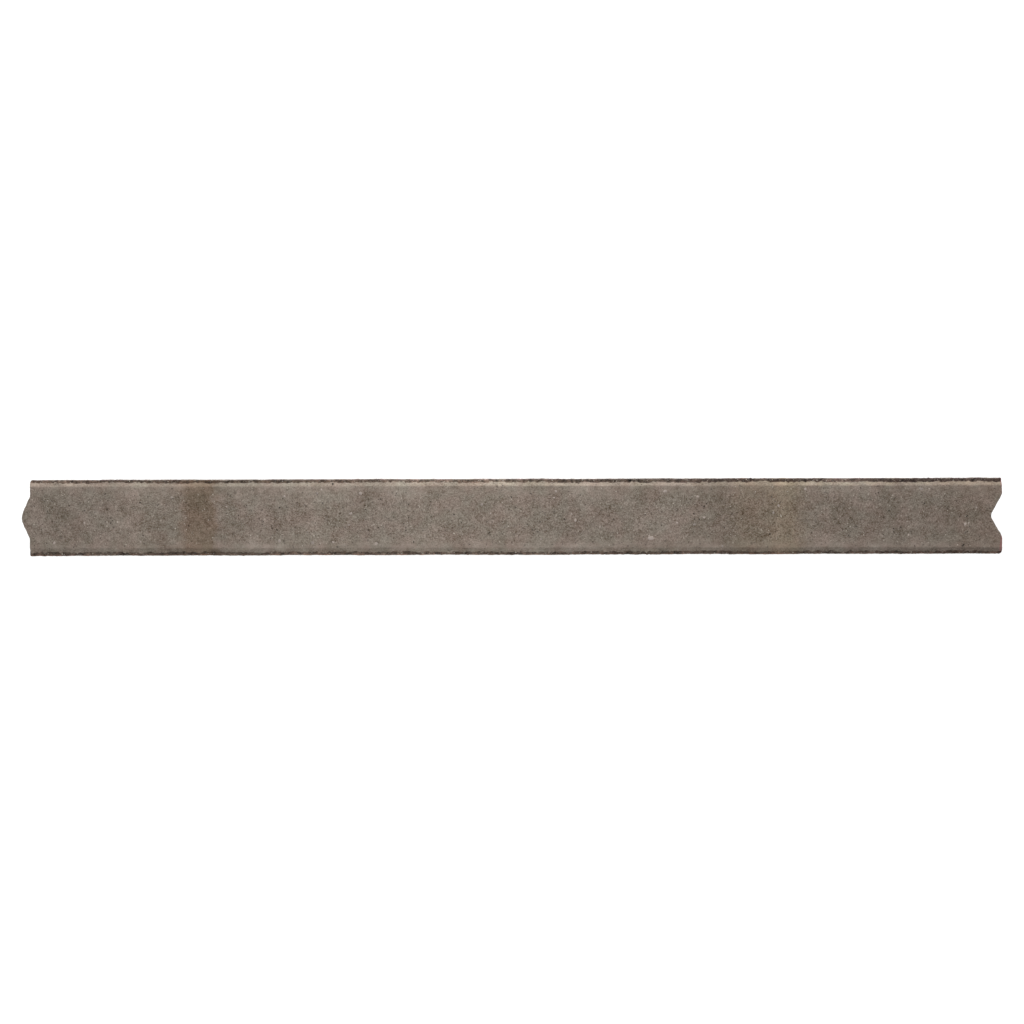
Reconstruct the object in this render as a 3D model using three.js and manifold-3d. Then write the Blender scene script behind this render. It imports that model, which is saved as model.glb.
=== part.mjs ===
// Precast concrete edging unit, about one metre long, laid end to end to border a lawn, bed or paving.
// It is pressed in one mould from two fills: a deep core of coarse mix, and a thin facing of fine mix that
// makes the visible top. The two are bonded for life, so the unit has no moving part. One end carries a
// blunt upright tongue and the other a matching groove, so that units laid in a row key into each other.
//
// Frame, in millimetres: +Z up, +X from the tongue end to the groove end, Y across the unit.
// The origin is the centre of the overall box, on the bed face.

import * as THREE from "three";
import { mergeVertices } from "three/addons/utils/BufferGeometryUtils.js";
import Module from "manifold-3d";

// ---------------------------------------------------------------- driving dimensions

const MODULE_LENGTH = 1000; // shoulder beside the tongue to the face beside the groove
const UNIT_WIDTH = 78;
const UNIT_HEIGHT = 200;
const FACING_DEPTH = 12; // thickness of the fine facing mix

const CHAMFER_WIDTH = 4.4; // sloped band along each long top edge
const CHAMFER_DROP = 4.2;
const LEDGE_WIDTH = 3.2; // rough ledge that the press head leaves between the chamfer and the mould wall
const LEDGE_DROP = 0.9; // the ledge falls away a little towards the side face

const TONGUE_HALF_BASE = 21.8;
const TONGUE_FLANK_DEG = 24.5; // flank, measured from the end plane
const TONGUE_NOSE_RADIUS = 16;

const GROOVE_HALF_MOUTH = 21.6;
const GROOVE_FLANK_DEG = 30.1;
const GROOVE_ROOT_RADIUS = 8.2;
const GROOVE_LIP_RADIUS = 11; // rounds each flank into the end plane

const CORNER_RADIUS = 2; // upright corners of the mould

const ARC_STEPS = 12; // straight steps for each arc of the outline
const OVERSHOOT = 10; // how far a section runs past the unit before it is trimmed to the outline

// ---------------------------------------------------------------- worked-out dimensions

const rad = THREE.MathUtils.degToRad;
const HALF_WIDTH = UNIT_WIDTH / 2;

// A straight flank that meets its mirror image in an arc: how far the arc stays short of the sharp apex.
const apexCut = (radius, flank) => radius * (1 / Math.cos(flank) - 1);

const tongueFlank = rad(TONGUE_FLANK_DEG);
const TONGUE_DEPTH = TONGUE_HALF_BASE * Math.tan(tongueFlank) - apexCut(TONGUE_NOSE_RADIUS, tongueFlank);

const grooveFlank = rad(GROOVE_FLANK_DEG);
const GROOVE_DEPTH = GROOVE_HALF_MOUTH * Math.tan(grooveFlank) - apexCut(GROOVE_ROOT_RADIUS, grooveFlank);

const OVERALL_LENGTH = MODULE_LENGTH + TONGUE_DEPTH;
const TIP_X = -OVERALL_LENGTH / 2; // tip of the tongue
const SHOULDER_X = TIP_X + TONGUE_DEPTH; // flats beside the tongue
const HORN_X = OVERALL_LENGTH / 2; // flats beside the groove
const ROOT_X = HORN_X - GROOVE_DEPTH; // bottom of the groove
const INTERFACE_Z = UNIT_HEIGHT - FACING_DEPTH; // where the facing meets the core

// ---------------------------------------------------------------- manifold-3d helpers

const wasm = await Module();
wasm.setup();

// A closed three.js geometry as a manifold-3d solid.
function solidFrom(geometry) {
  const bare = geometry.clone();
  bare.deleteAttribute("normal");
  bare.deleteAttribute("uv");
  const merged = mergeVertices(bare, 1e-4);
  const mesh = new wasm.Mesh({
    numProp: 3,
    vertProperties: new Float32Array(merged.getAttribute("position").array),
    triVerts: new Uint32Array(merged.index.array),
  });
  return new wasm.Manifold(mesh);
}

// A manifold-3d solid as a three.js geometry.
function geometryFrom(solid) {
  const mesh = solid.getMesh();
  const geometry = new THREE.BufferGeometry();
  geometry.setAttribute("position", new THREE.BufferAttribute(mesh.vertProperties, 3));
  geometry.setIndex(new THREE.BufferAttribute(mesh.triVerts, 1));
  geometry.computeVertexNormals();
  return geometry;
}

// ---------------------------------------------------------------- outline seen from above

// The tongue end, drawn down in Y: shoulder, flank, rounded nose, flank, shoulder.
function drawTongueEnd(outline) {
  const noseStart = Math.PI - tongueFlank; // where the nose arc leaves the +Y flank
  outline.absarc(SHOULDER_X + CORNER_RADIUS, HALF_WIDTH - CORNER_RADIUS, CORNER_RADIUS, Math.PI / 2, Math.PI);
  outline.lineTo(SHOULDER_X, TONGUE_HALF_BASE);
  outline.absarc(TIP_X + TONGUE_NOSE_RADIUS, 0, TONGUE_NOSE_RADIUS, noseStart, -noseStart);
  outline.lineTo(SHOULDER_X, -TONGUE_HALF_BASE);
  outline.absarc(
    SHOULDER_X + CORNER_RADIUS, -HALF_WIDTH + CORNER_RADIUS, CORNER_RADIUS, Math.PI, 1.5 * Math.PI,
  );
}

// The groove end, drawn up in Y: horn, rounded lip, flank, rounded root, flank, rounded lip, horn.
function drawGrooveEnd(outline) {
  const lipY = GROOVE_HALF_MOUTH + GROOVE_LIP_RADIUS * Math.tan(grooveFlank / 2);
  const lipX = HORN_X - GROOVE_LIP_RADIUS;
  outline.absarc(HORN_X - CORNER_RADIUS, -HALF_WIDTH + CORNER_RADIUS, CORNER_RADIUS, -Math.PI / 2, 0);
  outline.absarc(lipX, -lipY, GROOVE_LIP_RADIUS, 0, grooveFlank);
  outline.absarc(
    ROOT_X + GROOVE_ROOT_RADIUS, 0, GROOVE_ROOT_RADIUS, Math.PI + grooveFlank, Math.PI - grooveFlank, true,
  );
  outline.absarc(lipX, lipY, GROOVE_LIP_RADIUS, -grooveFlank, 0);
  outline.absarc(HORN_X - CORNER_RADIUS, HALF_WIDTH - CORNER_RADIUS, CORNER_RADIUS, 0, Math.PI / 2);
}

// The unit's outline as an upright solid, from below the bed to above the top.
function outlineSolid() {
  const outline = new THREE.Shape();
  drawTongueEnd(outline);
  drawGrooveEnd(outline);
  outline.closePath();
  const depth = UNIT_HEIGHT + 2 * OVERSHOOT;
  const upright = new THREE.ExtrudeGeometry(outline, { depth, bevelEnabled: false, curveSegments: ARC_STEPS });
  upright.translate(0, 0, -OVERSHOOT);
  return solidFrom(upright);
}

// ---------------------------------------------------------------- sections seen from the end

// A closed section, drawn as [y, z] points for the +Y half from the bottom up, as a solid along X.
function sectionSolid(halfSection) {
  const right = halfSection.map(([y, z]) => new THREE.Vector2(y, z));
  const left = halfSection.map(([y, z]) => new THREE.Vector2(-y, z)).reverse();
  const depth = OVERALL_LENGTH + 2 * OVERSHOOT;
  const bar = new THREE.ExtrudeGeometry(new THREE.Shape([...right, ...left]), { depth, bevelEnabled: false });
  // The section is drawn in the XY plane and extruded along Z: turn it so that X runs along the unit.
  const turn = new THREE.Matrix4().makeBasis(
    new THREE.Vector3(0, 1, 0),
    new THREE.Vector3(0, 0, 1),
    new THREE.Vector3(1, 0, 0),
  );
  bar.applyMatrix4(turn);
  bar.translate(-depth / 2, 0, 0);
  return solidFrom(bar);
}

const coreSection = [
  [HALF_WIDTH, 0],
  [HALF_WIDTH, INTERFACE_Z],
];

const ledgeInnerY = HALF_WIDTH - LEDGE_WIDTH;
const flatHalfWidth = ledgeInnerY - CHAMFER_WIDTH;
const facingSection = [
  [HALF_WIDTH, INTERFACE_Z],
  [HALF_WIDTH, UNIT_HEIGHT - CHAMFER_DROP - LEDGE_DROP],
  [ledgeInnerY, UNIT_HEIGHT - CHAMFER_DROP],
  [flatHalfWidth, UNIT_HEIGHT],
];

// ---------------------------------------------------------------- the two concretes

const coreConcrete = new THREE.MeshStandardMaterial({ color: "#776c62", roughness: 0.95, metalness: 0 });
const facingConcrete = new THREE.MeshStandardMaterial({ color: "#7d7268", roughness: 0.9, metalness: 0 });

function makePiece(name, section, material) {
  const solid = sectionSolid(section).intersect(outlineSolid());
  const mesh = new THREE.Mesh(geometryFrom(solid), material);
  mesh.name = name;
  return mesh;
}

const edger = new THREE.Group();
edger.name = "concrete_edger";
edger.add(makePiece("core_block", coreSection, coreConcrete));
edger.add(makePiece("facing_layer", facingSection, facingConcrete));

export default edger;
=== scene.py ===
"""The looks of a precast concrete edging unit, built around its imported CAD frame.

The unit stands on its bed face. +Z is up to the top that stays in sight, +X runs from the tongue end to the
groove end, and Y runs across. Sizes are in millimetres, and a mesh is scaled to metres when it is finished.
"""

import logging
import math
import random
from collections.abc import Callable, Iterable, Sequence
from dataclasses import dataclass
from enum import Enum
from functools import partial

import bmesh
import bpy
from bmesh.types import BMEdge, BMesh, BMVert
from bpy.types import ID, Material, Mesh, Node, NodeSocket, NodeTree, Object
from mathutils import Matrix, Vector, noise
from mathutils.bvhtree import BVHTree
from mathutils.kdtree import KDTree


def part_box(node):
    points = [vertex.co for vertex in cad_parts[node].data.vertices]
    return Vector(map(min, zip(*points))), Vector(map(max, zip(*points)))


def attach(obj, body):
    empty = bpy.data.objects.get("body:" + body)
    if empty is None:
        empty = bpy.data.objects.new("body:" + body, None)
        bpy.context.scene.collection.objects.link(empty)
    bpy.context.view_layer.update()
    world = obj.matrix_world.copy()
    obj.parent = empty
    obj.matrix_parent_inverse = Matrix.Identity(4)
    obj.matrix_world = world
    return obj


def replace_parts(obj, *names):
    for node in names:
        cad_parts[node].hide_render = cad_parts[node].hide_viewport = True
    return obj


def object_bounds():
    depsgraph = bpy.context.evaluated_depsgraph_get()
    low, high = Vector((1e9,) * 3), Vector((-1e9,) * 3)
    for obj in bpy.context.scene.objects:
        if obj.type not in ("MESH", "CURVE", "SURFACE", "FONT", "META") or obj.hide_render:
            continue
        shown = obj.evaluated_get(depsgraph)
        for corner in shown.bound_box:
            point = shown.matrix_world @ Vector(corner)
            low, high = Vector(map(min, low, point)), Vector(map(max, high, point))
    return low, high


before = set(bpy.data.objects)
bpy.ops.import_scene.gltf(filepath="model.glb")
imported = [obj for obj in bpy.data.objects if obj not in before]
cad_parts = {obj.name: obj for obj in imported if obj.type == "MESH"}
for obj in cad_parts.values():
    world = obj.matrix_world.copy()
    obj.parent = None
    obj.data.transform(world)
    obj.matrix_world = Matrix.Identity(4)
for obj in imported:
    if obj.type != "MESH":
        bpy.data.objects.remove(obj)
cad_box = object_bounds()

logging.basicConfig(level=logging.INFO, format="%(message)s")
log = logging.getLogger("concrete_edger")

MM = 0.001
ROOT = "root"
FRONT, BACK = -1, 1  # the two long sides, by the way that they face along Y
Colour = tuple[float, float, float]
WHITE: Colour = (1.0, 1.0, 1.0)


# ------------------------ maths of the shape


def smooth_min(a: float, b: float, radius: float) -> float:
    """Return the lower of two heights, rounded off where they are closer than a radius."""
    near = max(radius - abs(a - b), 0.0) / radius
    return min(a, b) - near * near * radius / 4


def smooth_max(a: float, b: float, radius: float) -> float:
    """Return the higher of two heights, rounded off where they are closer than a radius."""
    return -smooth_min(-a, -b, radius)


def ramp(value: float, low: float, high: float) -> float:
    """Return 0 below low and 1 above high, with a smooth rise in between."""
    share = min(max((value - low) / (high - low), 0.0), 1.0)
    return share * share * (3 - 2 * share)


def lumps(place: Vector, size: float, seed: float) -> float:
    """Return smooth noise, mostly between -0.6 and 0.6, whose lumps are about one size across."""
    return noise.noise(place / size + Vector((seed, -2.3 * seed, 1.7 * seed)))


def either_way(chance: random.Random, reach: float) -> float:
    """Return a random distance from the middle, up to a reach to either side."""
    return chance.uniform(-reach, reach)


def stations(low: float, high: float, step: float, run_in: Sequence[float] = ()) -> list[float]:
    """Places of grid lines between two ends.

    Args:
        low: First line.
        high: Last line.
        step: Distance between the lines, about.
        run_in: Distances from each end of some extra lines, so that an edge there can be rounded.

    Returns:
        The places in rising order, with both ends.
    """
    margin = run_in[-1] if run_in else 0.0
    inner_low, inner_high = low + margin, high - margin
    count = max(1, round((inner_high - inner_low) / step))
    inner = [inner_low + (inner_high - inner_low) * i / count for i in range(count + 1)]
    if not run_in:
        return inner
    first = [low, *(low + near for near in run_in[:-1])]
    last = [high, *(high - near for near in run_in[:-1])]
    return [*first, *inner, *reversed(last)]


# ------------------------ the mould


class End(Enum):
    """The two ends of the unit, by the way that they face along X."""

    TONGUE = -1
    GROOVE = 1


@dataclass(frozen=True)
class KeyProfile:
    """The blunt V of the tongue or the groove in plan, in millimetres from the end face."""

    half_base: float
    flank_deg: float
    apex_radius: float
    shoulder_radius: float

    def depth(self, across: float) -> float:
        """Return how far the V stands out of, or cuts into, the end face at a distance from the middle."""
        away = abs(across)
        flank = math.radians(self.flank_deg)
        apex = self.half_base * math.tan(flank) - self.apex_radius * (1 / math.cos(flank) - 1)
        shoulder_end = self.half_base + self.shoulder_radius * math.tan(flank / 2)
        shoulder_start = shoulder_end - self.shoulder_radius * math.sin(flank)
        if away <= self.apex_radius * math.sin(flank):
            return apex - self.apex_radius + math.sqrt(self.apex_radius**2 - away**2)
        if away >= shoulder_end:
            return 0.0
        if away >= shoulder_start:
            rise = math.sqrt(self.shoulder_radius**2 - (shoulder_end - away) ** 2)
            return self.shoulder_radius - rise
        return (self.half_base - away) * math.tan(flank)


@dataclass(frozen=True)
class Corner:
    """One upright corner of the unit, with how far it is worn round."""

    end: End
    side: int
    radius: float


@dataclass(frozen=True)
class Mould:
    """The mould that both fills are pressed in: the plan and the section of the unit, in millimetres.

    The press shoe, which shapes the top, sits a little to one side and a little skewed in the mould.
    """

    half_length: float
    half_width: float
    height: float
    interface: float
    tongue: KeyProfile = KeyProfile(half_base=21.8, flank_deg=24.5, apex_radius=16.0, shoulder_radius=3.0)
    groove: KeyProfile = KeyProfile(half_base=21.6, flank_deg=30.1, apex_radius=8.2, shoulder_radius=11.0)
    corners: tuple[Corner, ...] = (
        Corner(End.TONGUE, BACK, 2.6),
        Corner(End.TONGUE, FRONT, 1.1),
        Corner(End.GROOVE, BACK, 1.7),
        Corner(End.GROOVE, FRONT, 3.3),
    )
    chamfer_width: float = 4.1
    chamfer_drop: float = 4.2
    ledge_width: float = 2.95
    ledge_drop: float = 0.9
    shoe_shift: float = -0.24
    shoe_skew: float = 0.38
    torn_band: float = 2.5
    track_apart: float = 50.0
    arris_round: float = 0.7
    ledge_round: float = 0.5
    end_blend: float = 60.0

    @classmethod
    def from_frame(cls) -> "Mould":
        """Return the mould with its overall sizes taken from the CAD nodes."""
        low, high = cad_box
        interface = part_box("core_block")[1].z
        return cls(
            half_length=(high.x - low.x) / 2 / MM,
            half_width=(high.y - low.y) / 2 / MM,
            height=high.z / MM,
            interface=interface / MM,
        )

    @property
    def flat_half(self) -> float:
        """Return half the width of the flat of the top."""
        return self.half_width - self.ledge_width - self.chamfer_width

    @property
    def ledge_height(self) -> float:
        """Return the height at which the chamfers end and the ledges start."""
        return self.height - self.chamfer_drop

    @property
    def lip_height(self) -> float:
        """Return the height of the ledges' outer edges."""
        return self.ledge_height - self.ledge_drop

    def at_interface(self, place: Vector) -> bool:
        """Return whether a place lies on the rim where the two mixes meet."""
        return abs(place.z - self.interface) < 0.01

    def end_plane(self, end: End) -> float:
        """Return the X of the flats beside the tongue or the groove."""
        if end is End.TONGUE:
            return self.tongue.depth(0) - self.half_length
        return self.half_length

    def plan(self, along: float, across: float) -> tuple[float, float]:
        """Bend a square-ended grid into the unit's plan outline.

        Args:
            along: X on the grid.
            across: Y on the grid.

        Returns:
            The X and Y on the unit.
        """
        near_tongue = max(0.0, 1 - (along + self.half_length) / self.end_blend)
        near_groove = max(0.0, 1 - (self.half_length - along) / self.end_blend)
        tongue_room = self.tongue.depth(0) - self.tongue.depth(across)
        x = along + near_tongue * tongue_room - near_groove * self.groove.depth(across)
        y = across
        for corner in self.corners:
            centre_x = self.end_plane(corner.end) - corner.end.value * corner.radius
            centre_y = corner.side * (self.half_width - corner.radius)
            out_x = (x - centre_x) * corner.end.value
            out_y = (y - centre_y) * corner.side
            reach = math.hypot(out_x, out_y)
            if out_x > 0 and out_y > 0 and reach > corner.radius:
                x = centre_x + corner.end.value * out_x * corner.radius / reach
                y = centre_y + corner.side * out_y * corner.radius / reach
        return x, y

    def top(self, x: float, y: float) -> float:
        """Return the height of the pressed top at a place: the flat, a chamfer, then the ragged ledge."""
        shoe_y = y - self.shoe_shift + self.shoe_skew * x / self.half_length
        away = abs(shoe_y)
        ledge_inner = self.half_width - self.ledge_width
        track = Vector((x, math.copysign(self.track_apart, shoe_y), 0.0))
        ragged = ramp(away, ledge_inner - self.torn_band, ledge_inner)
        away += ragged * (0.8 * lumps(track, 9.0, seed=3.0) + 1.4 * lumps(track, 2.6, seed=5.0))
        chamfer = self.height - (away - self.flat_half) * self.chamfer_drop / self.chamfer_width
        ledge = self.ledge_height - max(0.0, away - ledge_inner) * self.ledge_drop / self.ledge_width
        return smooth_max(smooth_min(self.height, chamfer, self.arris_round), ledge, self.ledge_round)


# ------------------------ wear


@dataclass(frozen=True)
class Hollow:
    """A small dish in the surface: a pit, a bug hole of the mould or a chip off an edge."""

    place: Vector
    inward: Vector
    mouth: float
    depth: float


@dataclass(frozen=True)
class HollowKind:
    """One kind of hollow: how many there are, how far they stay from the ends, and their sizes.

    The mouth is that of the narrowest one, wider is how much wider they get, and rarity is how rare wide
    ones are. The depth is a share of the mouth, from shallow to deep.
    """

    count: int
    margin: float
    mouth: float
    wider: float
    rarity: float
    shallow: float
    deep: float

    def sizes(self, chance: random.Random) -> tuple[float, float]:
        """Return a random mouth and depth."""
        mouth = self.mouth + self.wider * chance.random() ** self.rarity
        return mouth, mouth * chance.uniform(self.shallow, self.deep)


@dataclass(frozen=True)
class Wear:
    """Where the unit is pitted and chipped. Both mixes take their hollows from this one list."""

    mould: Mould
    seed: int = 11
    pit: HollowKind = HollowKind(900, 8.0, mouth=0.8, wider=1.1, rarity=5.0, shallow=0.15, deep=0.35)
    wall_hole: HollowKind = HollowKind(900, 8.0, mouth=1.8, wider=3.0, rarity=4.0, shallow=0.15, deep=0.35)
    end_hole: HollowKind = HollowKind(90, 4.0, mouth=1.6, wider=2.4, rarity=2.0, shallow=0.2, deep=0.4)
    chip: HollowKind = HollowKind(260, 10.0, mouth=1.2, wider=2.6, rarity=4.0, shallow=0.15, deep=0.3)
    notch: HollowKind = HollowKind(260, 6.0, mouth=0.9, wider=0.8, rarity=1.0, shallow=0.3, deep=0.6)
    bed_clearance: float = 3.0
    end_headroom: float = 6.0
    top_chip_share: float = 0.6
    bed_chip_scale: float = 1.5

    def hollows(self) -> list[Hollow]:
        """Return every hollow of the unit, in the same order each run."""
        chance = random.Random(self.seed)
        makers = (
            (self.pit, self._pit),
            (self.wall_hole, self._wall_hole),
            (self.end_hole, self._end_hole),
            (self.chip, self._chip),
            (self.notch, self._notch),
        )
        return [make(chance, kind) for kind, make in makers for _ in range(kind.count)]

    def _pit(self, chance: random.Random, kind: HollowKind) -> Hollow:
        """Return a small pit of the pressed top."""
        x = either_way(chance, self.mould.half_length - kind.margin)
        y = either_way(chance, self.mould.half_width - kind.margin)
        return Hollow(Vector((x, y, self.mould.height)), Vector((0, 0, -1)), *kind.sizes(chance))

    def _wall_hole(self, chance: random.Random, kind: HollowKind) -> Hollow:
        """Return a bug hole that air leaves against a long wall of the mould."""
        side = chance.choice((FRONT, BACK))
        x = either_way(chance, self.mould.half_length - kind.margin)
        z = chance.uniform(self.bed_clearance, self.mould.height - kind.margin)
        place = Vector((x, side * self.mould.half_width, z))
        return Hollow(place, Vector((0, -side, 0)), *kind.sizes(chance))

    def _end_hole(self, chance: random.Random, kind: HollowKind) -> Hollow:
        """Return a bug hole of an end face."""
        facing = chance.choice((End.TONGUE, End.GROOVE)).value
        across = either_way(chance, self.mould.half_width - kind.margin)
        x, y = self.mould.plan(facing * self.mould.half_length, across)
        z = chance.uniform(self.bed_clearance, self.mould.height - self.end_headroom)
        return Hollow(Vector((x, y, z)), Vector((-facing, 0, 0)), *kind.sizes(chance))

    def _chip(self, chance: random.Random, kind: HollowKind) -> Hollow:
        """Return a chip off a long top edge or off an edge of the bed."""
        side = chance.choice((FRONT, BACK))
        x = either_way(chance, self.mould.half_length - kind.margin)
        y = side * self.mould.half_width
        mouth, depth = kind.sizes(chance)
        if chance.random() < self.top_chip_share:
            inward = Vector((0, -side, -0.6)).normalized()
            return Hollow(Vector((x, y, self.mould.lip_height)), inward, mouth, depth)
        inward = Vector((0, -side, 1)).normalized()
        return Hollow(Vector((x, y, 0)), inward, self.bed_chip_scale * mouth, self.bed_chip_scale * depth)

    def _notch(self, chance: random.Random, kind: HollowKind) -> Hollow:
        """Return a sharp little notch of the +Y lip, which tears as the press shoe lifts."""
        x = either_way(chance, self.mould.half_length - kind.margin)
        place = Vector((x, self.mould.half_width, self.mould.lip_height))
        return Hollow(place, Vector((0, -1, -0.3)).normalized(), *kind.sizes(chance))


# ------------------------ shader expressions


class Wire:
    """One output socket of a node tree."""

    def __init__(self, tree: "Tree", socket: NodeSocket) -> None:
        """Wrap the socket."""
        self.tree = tree
        self.socket = socket


def math_node(operation: str) -> Callable[..., "Value"]:
    """Return a method that puts a Math node behind one of Python's operators."""
    return lambda value, *others: value.tree.math(operation, value, *others)


class Value(Wire):
    """A number that varies over a surface, so that maths on it reads as a Python expression."""

    __add__ = __radd__ = math_node("ADD")
    __sub__ = math_node("SUBTRACT")
    __mul__ = __rmul__ = math_node("MULTIPLY")
    __abs__ = math_node("ABSOLUTE")

    def __rsub__(self, other: float) -> "Value":
        """Return a number less this value."""
        return self.tree.math("SUBTRACT", other, self)

    def step(self, low: "Value | float", high: "Value | float") -> "Value":
        """Return a smooth rise from 0 at low to 1 at high. With low above high it is a fall."""
        settings = {"interpolation_type": "SMOOTHSTEP"}
        inputs = {"Value": self, "From Min": low, "From Max": high}
        node = self.tree.add("ShaderNodeMapRange", settings, inputs)
        return Value(self.tree, node.outputs["Result"])


class Tint(Wire):
    """A colour, or another set of three numbers, that varies over a surface."""

    def __mul__(self, share: "Value | float") -> "Tint":
        """Return the colour made lighter or darker."""
        return self.tree.vector_math("SCALE", {0: self, "Scale": share})

    def times(self, other: "Tint | Colour") -> "Tint":
        """Return the product, channel by channel."""
        return self.tree.vector_math("MULTIPLY", {0: self, 1: other})

    def moved(self, other: "Tint | Colour") -> "Tint":
        """Return the sum, channel by channel."""
        return self.tree.vector_math("ADD", {0: self, 1: other})

    def towards(self, other: "Tint | Colour", share: "Value | float") -> "Tint":
        """Return a mix of this colour and another one, which has the given share."""
        return self.tree.mix(self, other, share)

    def parts(self) -> tuple[Value, Value, Value]:
        """Return the three channels as values."""
        node = self.tree.add("ShaderNodeSeparateXYZ", {}, {0: self})
        return tuple(Value(self.tree, socket) for socket in node.outputs)


class Place(Tint):
    """The place on a piece in millimetres, with the patterns that concrete is made of."""

    def stretched(self, shares: Colour) -> "Place":
        """Return the place with its axes scaled. A pattern is drawn out along an axis of a small share."""
        return Place(self.tree, self.times(shares).socket)

    def clouds(self, size: float, detail: float, rough: float, seed: float) -> Value:
        """Soft noise, mostly between -0.3 and 0.3.

        Args:
            size: Size of its largest lumps, in millimetres.
            detail: How many finer layers it has.
            rough: How strong each finer layer is.
            seed: Another seed gives another pattern.

        Returns:
            The noise at the place.
        """
        shifted = self.moved((37.0 * seed, -91.0 * seed, 53.0 * seed))
        inputs = {"Vector": shifted, "Scale": 1 / size, "Detail": detail, "Roughness": rough}
        node = self.tree.add("ShaderNodeTexNoise", {"noise_dimensions": "3D"}, inputs)
        return Value(self.tree, node.outputs[0]) - 0.5

    def specks(self, spacing: float, share: float, reach: float, seed: float) -> Value:
        """Scattered specks, such as grains of one kind.

        Args:
            spacing: Distance between all grains, in millimetres.
            share: How many of the grains are specks of this kind, from 0 to 1.
            reach: Radius of the largest speck, as a share of the spacing.
            seed: Another seed gives another pattern.

        Returns:
            1 in the middle of a speck and 0 away from it.
        """
        shifted = self.moved((19.0 * seed, 71.0 * seed, -43.0 * seed))
        warp_inputs = {"Vector": shifted, "Scale": 2.0 / spacing, "Detail": 1.0}
        warp = self.tree.add("ShaderNodeTexNoise", {}, warp_inputs)
        ragged = shifted.moved(Tint(self.tree, warp.outputs["Color"]) * (0.8 * spacing))
        inputs = {"Vector": ragged, "Scale": 1 / spacing}
        node = self.tree.add("ShaderNodeTexVoronoi", {"voronoi_dimensions": "3D", "feature": "F1"}, inputs)
        distance = Value(self.tree, node.outputs["Distance"])
        pick, size, _ = Tint(self.tree, node.outputs["Color"]).parts()
        chosen = self.tree.math("LESS_THAN", pick, share)
        return distance.step(reach * (0.55 + 0.45 * size), 0.4 * reach * size) * chosen


class Tree:
    """The node tree of one material or of the world."""

    def __init__(self, nodes: NodeTree) -> None:
        """Start from an empty node tree."""
        nodes.nodes.clear()
        self.nodes = nodes

    def add(self, kind: str, settings: dict, inputs: dict) -> Node:
        """Add one node.

        Args:
            kind: The node's type.
            settings: Its settings, which are set first.
            inputs: Values, wrapped sockets or shader sockets, by the name or number of the input.

        Returns:
            The node.
        """
        node = self.nodes.nodes.new(kind)
        for name, setting in settings.items():
            setattr(node, name, setting)
        for name, given in inputs.items():
            socket = node.inputs[name]
            if isinstance(given, Wire):
                self.nodes.links.new(given.socket, socket)
            elif isinstance(given, NodeSocket):
                self.nodes.links.new(given, socket)
            elif socket.type == "RGBA":
                socket.default_value = (*given, 1.0)
            else:
                socket.default_value = given
        return node

    def math(self, operation: str, *values: Value | float) -> Value:
        """Return the result of a Math node."""
        node = self.add("ShaderNodeMath", {"operation": operation}, dict(enumerate(values)))
        return Value(self, node.outputs[0])

    def vector_math(self, operation: str, inputs: dict) -> Tint:
        """Return the result of a Vector Math node."""
        return Tint(self, self.add("ShaderNodeVectorMath", {"operation": operation}, inputs).outputs[0])

    def mix(self, first: Tint | Colour, second: Tint | Colour, share: Value | float) -> Tint:
        """Return a mix of two colours, where the second one has the given share."""
        settings = {"data_type": "RGBA", "blend_type": "MIX", "clamp_factor": True}
        node = self.add("ShaderNodeMix", settings, {0: share, 6: first, 7: second})
        return Tint(self, node.outputs[2])

    def place(self) -> Place:
        """Return the place on the piece, from its Object coordinates."""
        metres = Tint(self, self.add("ShaderNodeTexCoord", {}, {}).outputs["Object"])
        return Place(self, (metres * (1 / MM)).socket)

    def plain(self, colour: Colour) -> Tint:
        """Return a colour that doesn't vary."""
        node = self.add("ShaderNodeCombineXYZ", {}, dict(enumerate(colour)))
        return Tint(self, node.outputs[0])

    def attribute(self, name: str) -> Value:
        """Return a number that the mesh carries at its vertices."""
        node = self.add("ShaderNodeAttribute", {"attribute_type": "GEOMETRY", "attribute_name": name}, {})
        return Value(self, node.outputs["Fac"])

    def coat(self, inputs: dict) -> None:
        """Finish a material's tree with one surface shader that has the given inputs."""
        shader = self.add("ShaderNodeBsdfPrincipled", {}, inputs)
        self.add("ShaderNodeOutputMaterial", {}, {"Surface": shader.outputs["BSDF"]})

    def mineral(self, colour: Tint, roughness: Value | float, height: Value, height_mm: float) -> None:
        """Finish the tree with a matt mineral surface.

        Args:
            colour: Its base colour.
            roughness: Its roughness.
            height: The fine relief.
            height_mm: What a height of 1 stands for.
        """
        bump_inputs = {"Strength": 1.0, "Distance": height_mm * MM, "Height": height}
        bump = self.add("ShaderNodeBump", {}, bump_inputs)
        inputs = {"Base Color": colour, "Roughness": roughness, "Normal": bump.outputs["Normal"]}
        self.coat({**inputs, "Specular IOR Level": 0.3})


def new_material(name: str) -> tuple[Material, Tree]:
    """Return a new material and its empty tree."""
    material = bpy.data.materials.new(name)
    material.use_nodes = True
    return material, Tree(material.node_tree)


# ------------------------ finishes


def tinged(colour: Colour, tinge: Colour) -> Colour:
    """Return one plain colour times another, channel by channel."""
    return tuple(channel * share for channel, share in zip(colour, tinge))


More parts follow.
